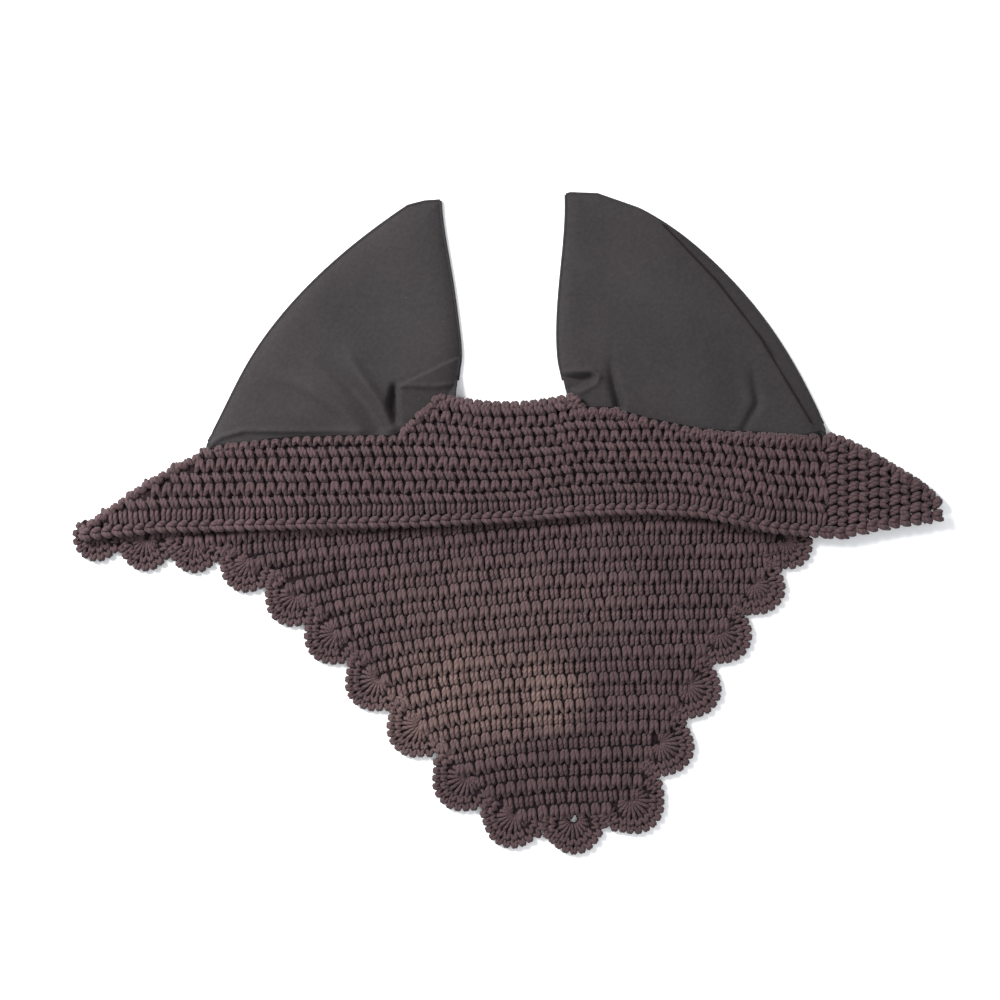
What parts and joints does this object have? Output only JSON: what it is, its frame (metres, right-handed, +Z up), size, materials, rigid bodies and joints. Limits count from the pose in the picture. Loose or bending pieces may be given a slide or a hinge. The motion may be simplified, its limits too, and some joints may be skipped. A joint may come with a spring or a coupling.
{
  "type": "horse fly mask",
  "caption": "Crocheted horse fly mask (ear bonnet) folded flat, with cloth ear sleeves, a pointed forehead flap edged with shells, and two side wings.",
  "frame": {"origin": "under the middle of the box, on the surface the mask lies on", "axes": "+X from the left wing tip to the right wing tip as seen from above, +Y towards the ear tips, +Z up out of the surface"},
  "size_m": [0.508, 0.3828, 0.0126],
  "materials": {
    "crochet_cotton": "matt twisted cotton yarn, single crochet",
    "shell_edging": "matt twisted cotton yarn, shell stitches",
    "edge_cord": "matt twisted cotton yarn, chain stitches",
    "ear_cloth": "matt woven stretch cotton",
    "stitching_thread": "matt sewing thread"
  },
  "bodies": {
    "cap": {"crown_panel": "crochet_cotton", "poll_band": "crochet_cotton", "poll_fold": "crochet_cotton", "band_edge_cord": "edge_cord", "left_ear_base_back": "ear_cloth", "left_ear_base_front": "ear_cloth", "left_ear_base_seam": "stitching_thread", "right_ear_base_back": "ear_cloth", "right_ear_base_front": "ear_cloth", "right_ear_base_seam": "stitching_thread", "shell_04": "shell_edging", "shell_17": "shell_edging"},
    "forehead_flap": {"forehead_flap": "crochet_cotton", "shell_05": "shell_edging", "shell_06": "shell_edging", "shell_07": "shell_edging", "shell_08": "shell_edging", "shell_09": "shell_edging", "shell_10": "shell_edging", "shell_11": "shell_edging", "shell_12": "shell_edging", "shell_13": "shell_edging", "shell_14": "shell_edging", "shell_15": "shell_edging", "shell_16": "shell_edging"},
    "left_wing": {"left_wing_front": "crochet_cotton", "left_wing_back": "crochet_cotton", "left_wing_edge_cord": "edge_cord", "left_wing_fold": "crochet_cotton", "shell_01": "shell_edging", "shell_02": "shell_edging", "shell_03": "shell_edging"},
    "right_wing": {"right_wing_front": "crochet_cotton", "right_wing_back": "crochet_cotton", "right_wing_edge_cord": "edge_cord", "right_wing_fold": "crochet_cotton", "shell_18": "shell_edging", "shell_19": "shell_edging", "shell_20": "shell_edging"},
    "left_ear": {"left_ear_back_panel": "ear_cloth", "left_ear_front_panel": "ear_cloth", "left_ear_outer_seam": "ear_cloth", "left_ear_inner_seam": "ear_cloth"},
    "right_ear": {"right_ear_back_panel": "ear_cloth", "right_ear_front_panel": "ear_cloth", "right_ear_outer_seam": "ear_cloth", "right_ear_inner_seam": "ear_cloth"}
  },
  "joints": [
    {"name": "left_ear_crease", "type": "hinge", "parent": "cap", "child": "left_ear", "pos_m": [-0.103, 0.06925, 0.01], "axis": [0.9701, 0.2425, 0], "range_deg": [0, 90]},
    {"name": "right_ear_crease", "type": "hinge", "parent": "cap", "child": "right_ear", "pos_m": [0.105, 0.0745, 0.01], "axis": [0.9864, -0.1644, 0], "range_deg": [0, 90]},
    {"name": "forehead_crease", "type": "hinge", "parent": "cap", "child": "forehead_flap", "pos_m": [0, -0.026, 0.0043], "axis": [-1, 0, 0], "range_deg": [0, 100]},
    {"name": "left_wing_crease", "type": "hinge", "parent": "cap", "child": "left_wing", "pos_m": [-0.1685, 0, 0.0086], "axis": [0, 1, 0], "range_deg": [0, 90]},
    {"name": "right_wing_crease", "type": "hinge", "parent": "cap", "child": "right_wing", "pos_m": [0.182, 0, 0.0086], "axis": [0, -1, 0], "range_deg": [0, 90]}
  ]
}
